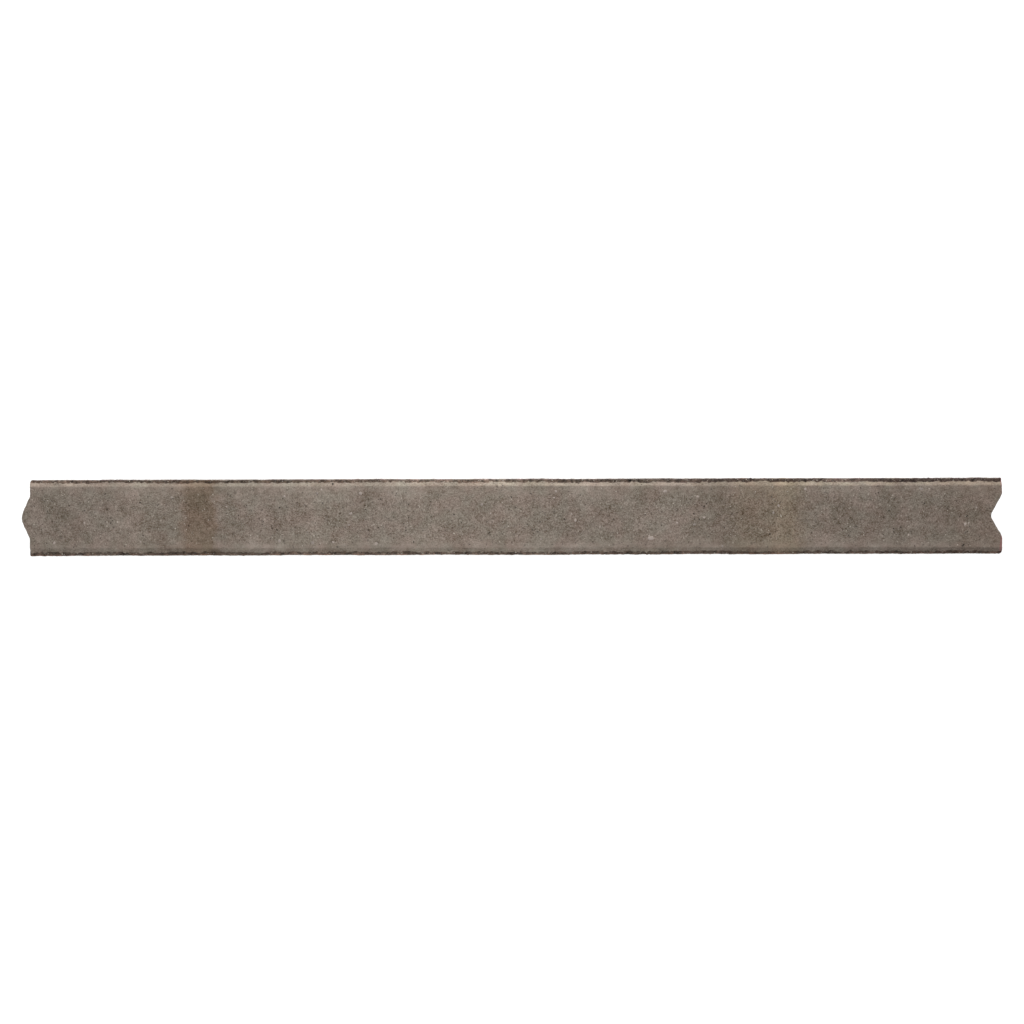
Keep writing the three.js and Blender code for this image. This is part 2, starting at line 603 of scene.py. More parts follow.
@dataclass(frozen=True)
class Stain:
    """A band of another tone across the unit: its two edges along X, how soft each one is, and the tone.

    A side limits it to the front or the back half.
    """

    left: float
    right: float
    soft_left: float
    soft_right: float
    tone: Colour
    side: int = 0

    def cover(self, place: Place) -> Value:
        """Return how much of the surface the stain covers, with edges that wander a little."""
        x, y, _ = place.parts()
        along = x + 24.0 * place.clouds(15.0, 2.0, 0.6, seed=0.01 * self.left)
        from_left = along.step(self.left - self.soft_left, self.left + self.soft_left)
        to_right = along.step(self.right + self.soft_right, self.right - self.soft_right)
        if not self.side:
            return from_left * to_right
        return from_left * to_right * y.step(-4.0 * self.side, 4.0 * self.side)


def stained(place: Place, colour: Tint, stains: Sequence[Stain]) -> Tint:
    """Return a colour with stains on it."""
    for stain in stains:
        colour = colour.times(place.tree.mix(WHITE, stain.tone, stain.cover(place)))
    return colour


@dataclass(frozen=True)
class Paste:
    """Mottled cement paste with its sand: the pattern that both mixes share."""

    colour: Colour
    grain: float
    stains: tuple[Stain, ...] = ()
    greying: Colour = (0.91, 1.0, 1.12)
    pinkish: Colour = (1.025, 0.985, 0.99)
    greenish: Colour = (0.97, 1.015, 1.005)

    def tint(self, place: Place, openness: Value | float) -> Tint:
        """Return the paste's colour, with clouds from the length of a hand down to single grains.

        Args:
            place: The place on the piece.
            openness: How much of its sand the surface shows.

        Returns:
            The colour.
        """
        clouds = (
            0.45 * place.clouds(120.0, 1.0, 0.5, seed=1.0)
            + 0.73 * place.clouds(34.0, 2.0, 0.6, seed=2.0)
            + 0.52 * place.clouds(11.0, 1.0, 0.5, seed=3.0)
        )
        sand = (
            0.68 * place.clouds(4.2, 1.0, 0.6, seed=4.0)
            + 1.1 * place.clouds(1.9, 1.0, 0.7, seed=5.0)
            + 1.2 * place.clouds(1.05, 0.0, 0.5, seed=14.0)
        )
        shade = place.tree.plain(self.greying) * (clouds + self.grain * sand * openness)
        drift = place.clouds(20.0, 2.0, 0.55, seed=6.0).step(-0.2, 0.2)
        warm, cool = tinged(self.colour, self.pinkish), tinged(self.colour, self.greenish)
        plain = place.tree.mix(warm, cool, drift)
        return stained(place, plain.times(shade.moved(WHITE)), self.stains)

    def relief(self, place: Place) -> Value:
        """Return the fine relief of the sand, for the bump."""
        coarse = place.clouds(3.4, 2.0, 0.7, seed=7.0)
        return coarse + 0.8 * place.clouds(1.3, 1.0, 0.6, seed=8.0)


@dataclass(frozen=True)
class FacingZones:
    """How far a place belongs to each zone of the facing, from 0 to 1."""

    chamfer: Value
    skinned: Value
    ledge: Value
    arris: Value
    rubbed: Value
    polished: Value
    chalked: Value

    @classmethod
    def of(cls, place: Place, mould: Mould) -> "FacingZones":
        """Return the zones, whose borders follow the mould's sizes and some blotches."""
        x, y, z = place.parts()
        flat_half, ledge_height = mould.flat_half, mould.ledge_height
        away = abs(y - mould.shoe_shift + (mould.shoe_skew / mould.half_length) * x)
        blotch = place.clouds(12.0, 3.0, 0.65, seed=9.0)
        above_ledge = z.step(ledge_height + 0.1, ledge_height + 0.9)
        chamfer = (away + 1.5 * blotch).step(flat_half - 0.9, flat_half + 1.3) * above_ledge
        ledge = (1.0 - above_ledge) * away.step(flat_half, flat_half + 0.5)
        ledge = ledge * z.step(ledge_height - 2.4, ledge_height - 1.2)
        towards_corner = x + 1.3 * y.step(-20.0, -34.0)
        at_groove = towards_corner.step(mould.half_length - 1.9, mould.half_length - 0.7)
        return cls(
            chamfer=chamfer,
            # Where the chamfers are lightened: partly a skin of cement, partly painted highlight.
            skinned=chamfer * (0.5 + 2.2 * blotch),
            ledge=ledge,
            arris=abs(y).step(mould.half_width - 1.1, mould.half_width - 0.3) * ledge,
            rubbed=away.step(flat_half - 17.0, flat_half - 1.5) * (0.75 + 1.4 * blotch),
            polished=y.step(6.5 - flat_half, 2.0 - flat_half) * (1.0 - chamfer),
            chalked=at_groove * (0.45 + 3.0 * blotch) * z.step(ledge_height - 4.0, ledge_height - 0.5),
        )


@dataclass(frozen=True)
class FacingFinish:
    """The facing mix: pressed flat, with chamfers lightened partly by a skin of light cement and partly by
    painted highlight, and open ledges darkened partly by dirt and partly by painted shade.
    """

    paste: Paste
    laitance_and_highlight_stains: tuple[Stain, ...]
    ledge_stains: tuple[Stain, ...]
    pale_grain: Colour = (0.38, 0.33, 0.28)
    # How dark the pores are painted: painted shade in the small holes.
    pore_shade: float = 0.85
    pit_shade: float = 0.4
    # Lightening of the chamfers: partly a skin of light cement, partly painted highlight.
    laitance_and_highlight: Colour = (1.36, 1.36, 1.325)
    # Darkening of the ledges: partly dirt, partly painted shade of their open, rough texture.
    ledge: Colour = (0.47, 0.415, 0.385)
    rub: Colour = (1.16, 1.165, 1.17)
    polish: Colour = (1.06, 1.06, 1.075)
    front_arris: Colour = (1.62, 1.47, 1.40)
    back_arris: Colour = (1.78, 1.80, 2.20)
    red_chalk: Colour = (0.30, 0.13, 0.13)
    bump_mm: float = 0.35

    def material(self, mould: Mould) -> Material:
        """Return the material of the facing layer."""
        material, tree = new_material("facing_concrete")
        place = tree.place()
        zones = FacingZones.of(place, mould)
        crowded = place.clouds(15.0, 1.0, 0.5, seed=17.0).step(-0.22, 0.12)
        pores = place.specks(2.6, 0.22, 0.42, seed=2.0) * crowded * (1.0 - 0.6 * zones.rubbed)
        deep_pores = place.specks(4.6, 0.22, 0.27, seed=21.0) * crowded

        colour = self._pressed(place, zones)
        colour = colour.towards(self.pale_grain, place.specks(3.1, 0.10, 0.30, seed=1.0) * 0.65)
        # Painted shade in the pores.
        colour = colour * (1.0 - self.pore_shade * pores) * (1.0 - self.pore_shade * deep_pores)
        colour = colour * (1.0 - self.pit_shade * tree.attribute("hollow").step(0.02, 0.6))
        colour = self._edged(place, zones, colour)
        roughness = 0.9 - 0.1 * zones.chamfer + 0.05 * zones.ledge
        relief = self.paste.relief(place) * (1.0 + zones.ledge) - 0.8 * pores
        tree.mineral(colour, roughness, relief, self.bump_mm)
        return material

    def _pressed(self, place: Place, zones: FacingZones) -> Tint:
        """Return the colour of the pressed top, with its chamfers lightened partly by a skin of cement and
        partly by painted highlight.
        """
        tree = place.tree
        colour = self.paste.tint(place, 1.0 - 0.5 * zones.rubbed - 0.2 * zones.polished)
        colour = colour.times(tree.mix(WHITE, self.rub, zones.rubbed))
        colour = colour.times(tree.mix(WHITE, self.polish, zones.polished))
        # Painted highlight on the chamfers, together with the real skin of cement.
        skin = stained(place, tree.plain(self.laitance_and_highlight), self.laitance_and_highlight_stains)
        return colour.times(skin.towards(WHITE, 1.0 - zones.skinned))

    def _edged(self, place: Place, zones: FacingZones, colour: Tint) -> Tint:
        """Return a colour with the ledges darkened partly by dirt and partly by painted shade of their open
        texture, with their bruised outer edges and the chalk on it.
        """
        tree = place.tree
        # The ledges' darkening: partly dirt, partly painted shade of their open texture.
        ledge_dirt_and_shade = stained(place, tree.plain(self.ledge), self.ledge_stains)
        ledge_dirt_and_shade = ledge_dirt_and_shade * (1.0 + 3.8 * place.clouds(5.0, 3.0, 0.7, seed=16.0))
        colour = colour.times(ledge_dirt_and_shade.towards(WHITE, 1.0 - zones.ledge))
        arris = tree.mix(self.front_arris, self.back_arris, place.parts()[1].step(-4.0, 4.0))
        colour = colour.times(arris.towards(WHITE, 1.0 - zones.arris))
        return colour.towards(self.red_chalk, zones.chalked)


@dataclass(frozen=True)
class CoreFinish:
    """The backing mix: coarser, with the streaks that the mould wall drags down it as it is lifted off."""

    paste: Paste
    facing: Paste
    pale_grain: Colour = (0.34, 0.30, 0.25)
    buried_stone: Colour = (1.13, 1.14, 1.15)
    smear: Colour = (1.13, 1.13, 1.13)
    # How dark the pores are painted: painted shade in the small holes.
    pore_shade: float = 0.6
    hole_shade: float = 0.42
    bump_mm: float = 0.5

    def material(self, mould: Mould) -> Material:
        """Return the material of the core block."""
        material, tree = new_material("core_concrete")
        place = tree.place()
        z = place.parts()[2]
        streaks = place.stretched((1.0, 1.0, 0.05)).clouds(6.0, 2.0, 0.6, seed=10.0)
        patches = place.stretched((1.0, 1.0, 0.6)).clouds(34.0, 3.0, 0.6, seed=15.0) + 0.5 * streaks
        open_patch = patches.step(-0.10, 0.16)
        seam = z + 16.0 * place.clouds(40.0, 2.0, 0.5, seed=11.0)
        on_facing = seam.step(mould.interface - 9.0, mould.interface - 5.0)
        pores = self._pores(place) * (0.10 + 0.90 * open_patch) * (1.0 - 0.6 * on_facing)

        colour = self.paste.tint(place, 0.6 + 0.6 * open_patch)
        colour = colour.towards(self.facing.tint(place, 0.8), on_facing)
        colour = colour * (1.0 + 0.42 * streaks - 0.10 * z.step(26.0, 2.0))
        buried = place.specks(8.5, 0.35, 0.40, seed=6.0)
        colour = colour.times(tree.mix(WHITE, self.buried_stone, buried))
        colour = colour.times(tree.mix(self.smear, WHITE, open_patch))
        colour = colour.towards(self.pale_grain, place.specks(4.4, 0.12, 0.32, seed=3.0) * 0.6)
        # Painted shade in the pores.
        colour = colour * (1.0 - self.pore_shade * pores)
        colour = colour * (1.0 - self.hole_shade * tree.attribute("hollow").step(0.05, 1.0))
        relief = self.paste.relief(place) + 0.9 * streaks - 1.6 * pores
        tree.mineral(colour, 0.94, relief, self.bump_mm)
        return material

    def _pores(self, place: Place) -> Value:
        """Return the pores of a fully open patch."""
        small_pores = place.specks(3.0, 0.30, 0.42, seed=4.0)
        return small_pores + place.stretched((1.0, 1.0, 0.75)).specks(6.0, 0.26, 0.40, seed=5.0)


@dataclass(frozen=True)
class StoneFinish:
    """Sand grains or stones of one kind, each with a tone of its own between two colours."""

    name: str
    light: Colour
    dark: Colour
    lump: float
    bump_mm: float = 0.1

    def material(self) -> Material:
        """Return the material of the stones."""
        material, tree = new_material(self.name)
        place = tree.place()
        share = place.clouds(self.lump, 0.0, 0.5, seed=12.0).step(-0.2, 0.2)
        veins = place.clouds(self.lump / 5, 2.0, 0.6, seed=13.0)
        colour = tree.mix(self.light, self.dark, share) * (1.0 + 0.5 * veins)
        tree.mineral(colour, 0.7, veins, self.bump_mm)
        return material


# ------------------------ the two mixes


@dataclass(frozen=True)
class Relief:
    """How far a surface wanders from its true place: lumps of some sizes, each with its height."""

    layers: tuple[tuple[float, float], ...]

    def at(self, place: Vector) -> float:
        """Return the height of the relief at a place, in millimetres."""
        return sum(height * lumps(place, size, seed=size) for size, height in self.layers)


@dataclass(frozen=True)
class Roughness:
    """The relief of each kind of surface. Both mixes read it, so that they match where they meet."""

    mould: Mould
    top: Relief = Relief(((2.3, 0.38), (4.4, 0.28), (9.0, 0.32), (46.0, 0.5)))
    ledge: Relief = Relief(((2.3, 0.45), (5.0, 0.35)))
    wall: Relief = Relief(((2.3, 0.42), (4.4, 0.30), (9.0, 0.34), (46.0, 0.5)))
    torn: Relief = Relief(((1.5, 0.6),))
    torn_loss: float = 0.2

    def height(self, place: Vector, facing_up: float) -> float:
        """Return how far the surface stands out at a place. It faces up where facing_up is 1."""
        mould = self.mould
        ledge_top = mould.ledge_height + 0.3
        height = facing_up * self.top.at(place) + (1 - facing_up) * self.wall.at(place)
        height += ramp(ledge_top - place.z, 0.0, 0.5) * facing_up * self.ledge.at(place)
        torn = ramp(place.y, mould.half_width - 1.5, mould.half_width - 0.3)
        torn *= ramp(place.z, ledge_top - 5.0, ledge_top - 2.0)
        return height + torn * (self.torn.at(place) - self.torn_loss)

    def add_to(self, mesh: BMesh) -> None:
        """Move every vertex along its normal, but only sideways on the rim where the mixes meet."""
        mesh.normal_update()
        for vert in mesh.verts:
            normal = vert.normal.copy()
            if self.mould.at_interface(vert.co):
                normal.z = 0.0
                normal.normalize()
            vert.co += normal * self.height(vert.co, ramp(normal.z, 0.3, 0.7))
            vert.co.z = max(vert.co.z, 0.0)


def press(mesh: BMesh, hollows: Sequence[Hollow], mould: Mould) -> None:
    """Press the hollows into a mesh, and note their depth on its vertices as the attribute hollow."""
    depth_note = mesh.verts.layers.float.new("hollow")
    tree = KDTree(len(mesh.verts))
    for vert in mesh.verts:
        tree.insert(vert.co, vert.index)
    tree.balance()
    mesh.verts.ensure_lookup_table()
    for hollow in hollows:
        for _, index, away in tree.find_range(hollow.place, 1.3 * hollow.mouth):
            vert = mesh.verts[index]
            reach = hollow.mouth * (1.0 + 0.6 * lumps(vert.co, hollow.mouth, seed=hollow.depth))
            sunk = hollow.depth * max(0.0, 1 - (away / reach) ** 2)
            inward = hollow.inward.copy()
            if mould.at_interface(vert.co):
                inward.z = 0.0
            vert.co += inward * sunk
            vert[depth_note] += sunk


@dataclass(frozen=True)
class Lattice:
    """A closed block of quads: a flat grid whose rim is drawn out in steps and then closed by one face."""

    lines_x: list[float]
    lines_y: list[float]
    shares: list[float]

    def build(self) -> BMesh:
        """Return the block, where each vertex's co holds the numbers of its grid lines."""
        columns, rows = len(self.lines_x) - 1, len(self.lines_y) - 1
        mesh = bmesh.new()
        bmesh.ops.create_grid(mesh, x_segments=columns, y_segments=rows, size=0.5)
        bmesh.ops.scale(mesh, verts=mesh.verts, vec=(columns, rows, 1))
        bmesh.ops.translate(mesh, verts=mesh.verts, vec=(columns / 2, rows / 2, 0))
        rim = [edge for edge in mesh.edges if edge.is_boundary]
        for _ in self.shares[1:]:
            drawn = bmesh.ops.extrude_edge_only(mesh, edges=rim)["geom"]
            rim = [part for part in drawn if isinstance(part, BMEdge)]
            corners = [part for part in drawn if isinstance(part, BMVert)]
            bmesh.ops.translate(mesh, verts=corners, vec=(0, 0, 1))
        bmesh.ops.contextual_create(mesh, geom=rim)
        for face in mesh.faces:
            face.smooth = True
        for edge in rim:
            edge.smooth = False
        mesh.verts.index_update()
        return mesh

    def lines_of(self, vert: BMVert) -> tuple[float, float, float]:
        """Return a vertex's X and Y on the square-ended grid, and its share of the way to the last face."""
        column, row, level = (round(number) for number in vert.co)
        return self.lines_x[column], self.lines_y[row], self.shares[level]

    def first_rim(self, mesh: BMesh) -> list[BMVert]:
        """Return the vertices round the first grid, before they are placed."""
        columns, rows = len(self.lines_x) - 1, len(self.lines_y) - 1
        return [
            vert
            for vert in mesh.verts
            if vert.co.z < 0.5 and (round(vert.co.x) in (0, columns) or round(vert.co.y) in (0, rows))
        ]


def face_outward(mesh: BMesh) -> None:
    """Turn every face of a closed mesh outward."""
    bmesh.ops.recalc_face_normals(mesh, faces=mesh.faces)
    if mesh.calc_volume(signed=True) < 0:
        bmesh.ops.reverse_faces(mesh, faces=mesh.faces)


def add_object(name: str, data: ID) -> Object:
    """Return a new object in the scene that shows some data, such as a mesh or a lamp."""
    added = bpy.data.objects.new(name, data)
    bpy.context.scene.collection.objects.link(added)
    return added


def mesh_data(mesh: BMesh, name: str, material: Material) -> Mesh:
    """Return a mesh, which is used up, as the data of an object of one material."""
    data = bpy.data.meshes.new(name)
    mesh.to_mesh(data)
    mesh.free()
    data.materials.append(material)
    return data


def finish_piece(mesh: BMesh, name: str, material: Material) -> Object:
    """Turn a mesh in millimetres into a finished piece that rides on the unit.

    Args:
        mesh: The mesh, which is used up.
        name: The piece's name.
        material: Its material.

    Returns:
        The piece.
    """
    bmesh.ops.scale(mesh, verts=mesh.verts, vec=(MM, MM, MM))
    piece = add_object(name, mesh_data(mesh, name, material))
    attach(piece, ROOT)
    log.info("%s: %d faces", name, len(piece.data.polygons))
    return piece


@dataclass(frozen=True)
class Mix:
    """One of the two mixes: a lattice that is bent into the mould, then eased, roughened and pitted."""

    mould: Mould

    def lattice(self) -> Lattice:
        """Return the lattice, in millimetres."""
        raise NotImplementedError

    def spot(self, along: float, across: float, share: float) -> Vector:
        """Return the place of a lattice point whose share of the way to the last face is given."""
        raise NotImplementedError

    def build(self, wear: Sequence[Hollow], easing: int) -> BMesh:
        """Return the mix as a closed mesh in millimetres.

        Args:
            wear: The hollows of the whole unit.
            easing: How many times the first arris is rounded off, as worn corners of the mould do.

        Returns:
            The mesh.
        """
        lattice = self.lattice()
        mesh = lattice.build()
        rim = lattice.first_rim(mesh)
        for vert in mesh.verts:
            vert.co = self.spot(*lattice.lines_of(vert))
        face_outward(mesh)
        all_ways = {f"use_axis_{axis}": True for axis in "xyz"}
        for _ in range(easing):
            bmesh.ops.smooth_vert(mesh, verts=rim, factor=0.5, **all_ways)
        Roughness(self.mould).add_to(mesh)
        press(mesh, wear, self.mould)
        return mesh


@dataclass(frozen=True)
class FacingLayer(Mix):
    """The thin layer of fine mix that makes the visible top, with its chamfers and ledges."""

    step: float = 1.1
    edge_step: float = 0.7
    run_in: tuple[float, ...] = (0.4, 0.9, 1.7)
    wall_steps: int = 6
    wall_easing: float = 1.3

    def lattice(self) -> Lattice:
        """Return a lattice that starts at the top and is denser along the edges."""
        flat_half = self.mould.flat_half - 1.0
        edge_lines = stations(flat_half, self.mould.half_width, self.edge_step)
        flat_lines = stations(-flat_half, flat_half, self.step)[1:-1]
        levels = range(self.wall_steps + 1)
        return Lattice(
            lines_x=stations(-self.mould.half_length, self.mould.half_length, self.step, self.run_in),
            lines_y=[*(-y for y in reversed(edge_lines)), *flat_lines, *edge_lines],
            shares=[(level / self.wall_steps) ** self.wall_easing for level in levels],
        )

    def spot(self, along: float, across: float, share: float) -> Vector:
        """Return the place of a lattice point, on the top or on the wall down to the core."""
        x, y = self.mould.plan(along, across)
        top = self.mould.top(x, y)
        return Vector((x, y, top + (self.mould.interface - top) * share))


@dataclass(frozen=True)
class CoreBlock(Mix):
    """The deep body of coarse mix, from the bed up to the facing."""

    step: float = 2.4
    run_in: tuple[float, ...] = (0.5, 1.1, 2.0)

    def lattice(self) -> Lattice:
        """Return a lattice that starts at the bed."""
        mould = self.mould
        levels = stations(0.0, mould.interface, self.step, self.run_in)
        return Lattice(
            lines_x=stations(-mould.half_length, mould.half_length, self.step, self.run_in),
            lines_y=stations(-mould.half_width, mould.half_width, self.step, self.run_in),
            shares=[level / mould.interface for level in levels],
        )

    def spot(self, along: float, across: float, share: float) -> Vector:
        """Return the place of a lattice point, on the bed or on the wall up to the facing."""
        return Vector((*self.mould.plan(along, across), self.mould.interface * share))


# ------------------------ stones and grains


@dataclass(frozen=True)
class Spot:
    """A place on the finished surface, with the way that the surface faces there."""

    place: Vector
    normal: Vector


@dataclass(frozen=True)
class Skin:
    """The finished surface of both mixes, which a ray can find."""

    trees: tuple[BVHTree, ...]

    def spot(self, start: Vector, aim: Vector) -> Spot | None:
        """Return where a ray from outside first meets the concrete, or None."""
        hits = [tree.ray_cast(start, aim) for tree in self.trees]
        met = [(distance, place) for place, _, _, distance in hits if place is not None]
        if not met:
            return None
        return Spot(min(met, key=lambda hit: hit[0])[1], -aim)


@dataclass(frozen=True)
class Stone:
    """One stone: where it sits, its half sizes along the surface, and how far it is turned."""

    spot: Spot
    half_length: float
    half_width: float
    proud: float
    turn: float


@dataclass(frozen=True)
class StoneField:
    """All the stones or grains of one kind, each a small closed body of its own."""

    name: str
    slot: str
    finish: StoneFinish
    facets: int

    def build(self, stones: Sequence[Stone]) -> Object:
        """Return the piece that holds the stones."""
        mesh = bmesh.new()
        for number, stone in enumerate(stones):
            self._add(mesh, stone, float(number))
        face_outward(mesh)
        for face in mesh.faces:
            face.smooth = self.facets > 1
        return finish_piece(mesh, self.name, self.finish.material())

    def _add(self, mesh: BMesh, stone: Stone, seed: float) -> None:
        """Add one lumpy stone that is worn flat where it meets the surface."""
        verts = bmesh.ops.create_icosphere(mesh, subdivisions=self.facets, radius=1.0)["verts"]
        thick = 0.7 * stone.half_width
        for vert in verts:
            lump = 1.0 + 0.35 * noise.noise(vert.co * 1.1 + Vector((seed, 3.0 * seed, 0.0)))
            x, y, z = vert.co * lump
            worn = smooth_min(z * thick, 0.35 * thick, 0.4 * thick)
            vert.co = Vector((x * stone.half_length, y * stone.half_width, worn - 0.25 * thick))
        upright = stone.spot.normal.to_track_quat("Z", "Y").to_matrix().to_4x4()
        seat = Matrix.Translation(stone.spot.place + stone.spot.normal * stone.proud)
        turned = seat @ upright @ Matrix.Rotation(stone.turn, 4, "Z")
        bmesh.ops.transform(mesh, matrix=turned, verts=verts)


Ray = tuple[Vector, Vector]  # where it starts, clear of the unit, and the way that it runs


@dataclass(frozen=True)
class Sower:
    """Scatters stones over the top and the walls of the unit, with seeded chance."""

    mould: Mould
    skin: Skin
    chance: random.Random
    rarity: float = 2.2
    wall_sunk: float = 0.10
    wall_share: float = 0.92
    clear: float = 20.0

    def on_top(self, count: int, small: float, large: float) -> list[Stone]:
        """Return stones of the given range of half sizes, all over the flat of the top."""
        return self._sow(self._ray_to_top, count, small, large)

    def on_ledges(self, count: int, small: float, large: float) -> list[Stone]:
        """Return crumbs that cling to the two rough ledges."""
        return self._sow(self._ray_to_ledge, count, small, large)

    def on_walls(self, count: int, small: float, large: float, highest: float) -> list[Stone]:
        """Return stones on the two long walls and, for a few of them, on the two ends."""
        draw_ray = partial(self._ray_to_wall, highest)
        return self._sow(draw_ray, count, small, large, self.wall_sunk)

    def at(self, x: float, y: float, half_length: float, half_width: float, turn: float) -> Stone:
        """Return one stone of the top at a chosen place."""
        spot = self.skin.spot(*self._ray_down(x, y))
        return Stone(spot, half_length, half_width, 0.12 * half_width, turn)

    def _sow(
        self, draw_ray: Callable[[], Ray], count: int, small: float, large: float, sunk: float = 0.0
    ) -> list[Stone]:
        """Sow stones where random rays meet the concrete.

        Args:
            draw_ray: Returns the next random ray.
            count: How many rays are drawn.
            small: The smallest half size, which most of the stones are near.
            large: The largest half size.
            sunk: How much deeper than on the top they are set, as a share of their half size.

        Returns:
            The stones.
        """
        stones = []
        for _ in range(count):
            spot = self.skin.spot(*draw_ray())
            if not spot:
                continue
            size = small + (large - small) * self.chance.random() ** self.rarity
            stone = Stone(
                spot=spot,
                half_length=size,
                half_width=size * self.chance.uniform(0.6, 0.95),
                proud=size * (self.chance.uniform(0.0, 0.14) - sunk),
                turn=self.chance.uniform(0, math.tau),
            )
            stones.append(stone)
        return stones

    def _ray_down(self, x: float, y: float) -> Ray:
        """Return the ray that looks straight down on a place of the top."""
        return Vector((x, y, self.mould.height + self.clear)), Vector((0, 0, -1))

    def _ray_to_top(self) -> Ray:
        """Return a ray at a random place of the flat of the top."""
        x = either_way(self.chance, self.mould.half_length - 9)
        return self._ray_down(x, either_way(self.chance, self.mould.half_width - 8))

    def _ray_to_ledge(self) -> Ray:
        """Return a ray at a random place of the two ledges."""
        side = self.chance.choice((FRONT, BACK))
        x = either_way(self.chance, self.mould.half_length - 12)
        inset = self.chance.uniform(0.9, self.mould.ledge_width)
        return self._ray_down(x, side * (self.mould.half_width - inset))

    def _ray_to_wall(self, highest: float) -> Ray:
        """Return a level ray at a random place of the walls or, now and then, of the ends."""
        z = self.chance.uniform(4, highest)
        if self.chance.random() < self.wall_share:
            side = self.chance.choice((FRONT, BACK))
            x = either_way(self.chance, self.mould.half_length - 14)
            return Vector((x, side * (self.mould.half_width + self.clear), z)), Vector((0, -side, 0))
        facing = self.chance.choice((End.TONGUE, End.GROOVE)).value
        y = either_way(self.chance, self.mould.half_width - 5)
        return Vector((facing * (self.mould.half_length + self.clear), y, z)), Vector((-facing, 0, 0))


# ------------------------ the studio


@dataclass(frozen=True)
class SoftBox:
    """One soft light panel, in metres and watts."""

    name: str
    place: Vector
    aim: Vector
    width: float
    depth: float
    power: float

    def build(self) -> None:
        """Hang the panel in the scene."""
        lamp = bpy.data.lights.new(self.name, "AREA")
        lamp.shape = "RECTANGLE"
        lamp.size = self.width
        lamp.size_y = self.depth
        lamp.energy = self.power
        panel = add_object(self.name, lamp)
        panel.location = self.place
        panel.rotation_euler = (self.aim - self.place).to_track_quat("-Z", "Y").to_euler()


@dataclass(frozen=True)
class Studio:
    """The pale floor, the soft lights and the camera that looks straight down on the unit, in metres."""

    mould: Mould
    lens: float = 150.0
    sensor: float = 36.0
    camera_height: float = 4.3884
    camera_x: float = 0.0001
    camera_y: float = 0.0049
    camera_turn_deg: float = -0.137
    key_place: tuple[float, float, float] = (-0.15, 1.56, 1.76)
    fill_place: tuple[float, float, float] = (1.2, -1.9, 0.9)
    floor_half: float = 12.0
    floor_glow: float = 0.95
    floor_tone: float = 0.25
    horizon: float = 1.0
    zenith: float = 0.3

    def build(self) -> None:
        """Set up the floor, the world, the lights and the camera."""
        self._camera()
        self._floor()
        self._world()
        top = Vector((0, 0, self.mould.height * MM))
        SoftBox("key_light", Vector(self.key_place), top, width=1.3, depth=0.9, power=39.0).build()
        SoftBox("fill_light", Vector(self.fill_place), top, width=1.2, depth=1.0, power=2.5).build()
        view = bpy.context.scene.view_settings
        view.view_transform = "Standard"
        view.look = "None"

    def _camera(self) -> None:
        """Hang the camera over the unit."""
        data = bpy.data.cameras.new("camera")
        data.lens = self.lens
        data.sensor_width = self.sensor
        camera = add_object("camera", data)
        camera.location = (self.camera_x, self.camera_y, self.mould.height * MM + self.camera_height)
        camera.rotation_euler = (0, 0, math.radians(self.camera_turn_deg))
        bpy.context.scene.camera = camera

    def _floor(self) -> None:
        """Lay the floor."""
        mesh = bmesh.new()
        bmesh.ops.create_grid(mesh, x_segments=2, y_segments=2, size=self.floor_half)
        material, tree = new_material("floor_white")
        inputs = {
            "Base Color": (self.floor_tone,) * 3,
            "Roughness": 0.9,
            "Specular IOR Level": 0.0,
            "Emission Color": WHITE,
            "Emission Strength": self.floor_glow,
        }
        tree.coat(inputs)
        floor = add_object("floor", mesh_data(mesh, "floor", material))

    def _world(self) -> None:
        """Surround the unit with a soft room that is white at the horizon and dimmer overhead."""
        world = bpy.data.worlds.new("studio_room")
        world.use_nodes = True
        tree = Tree(world.node_tree)
        direction = tree.add("ShaderNodeTexCoord", {}, {}).outputs["Generated"]
        rise = Tint(tree, direction).parts()[2]
        strength = self.horizon - (self.horizon - self.zenith) * rise.step(0.08, 0.65)
        background = tree.add("ShaderNodeBackground", {}, {"Color": WHITE, "Strength": strength})
        tree.add("ShaderNodeOutputWorld", {}, {"Surface": background.outputs["Background"]})
        bpy.context.scene.world = world


# ------------------------ assembly

TOP_STAINS = (
    Stain(-520, -400, 5, 18, (0.925, 0.925, 0.925)),
    Stain(-340, -305, 10, 4, (0.81, 0.74, 0.66)),
    Stain(-225, 20, 22, 30, (1.09, 1.09, 1.09)),
    Stain(-412, -372, 12, 12, (1.055, 1.06, 1.06)),
    Stain(-165, -112, 15, 15, (0.94, 0.945, 0.945)),
    Stain(186, 246, 14, 14, (0.93, 0.92, 0.91)),
    Stain(228, 300, 12, 10, (0.99, 0.965, 0.91)),
    Stain(266, 292, 8, 6, (1.06, 1.04, 1.0)),
    Stain(335, 520, 55, 5, (0.88, 0.87, 0.87)),
    Stain(455, 520, 14, 5, (0.95, 0.93, 0.91)),
)
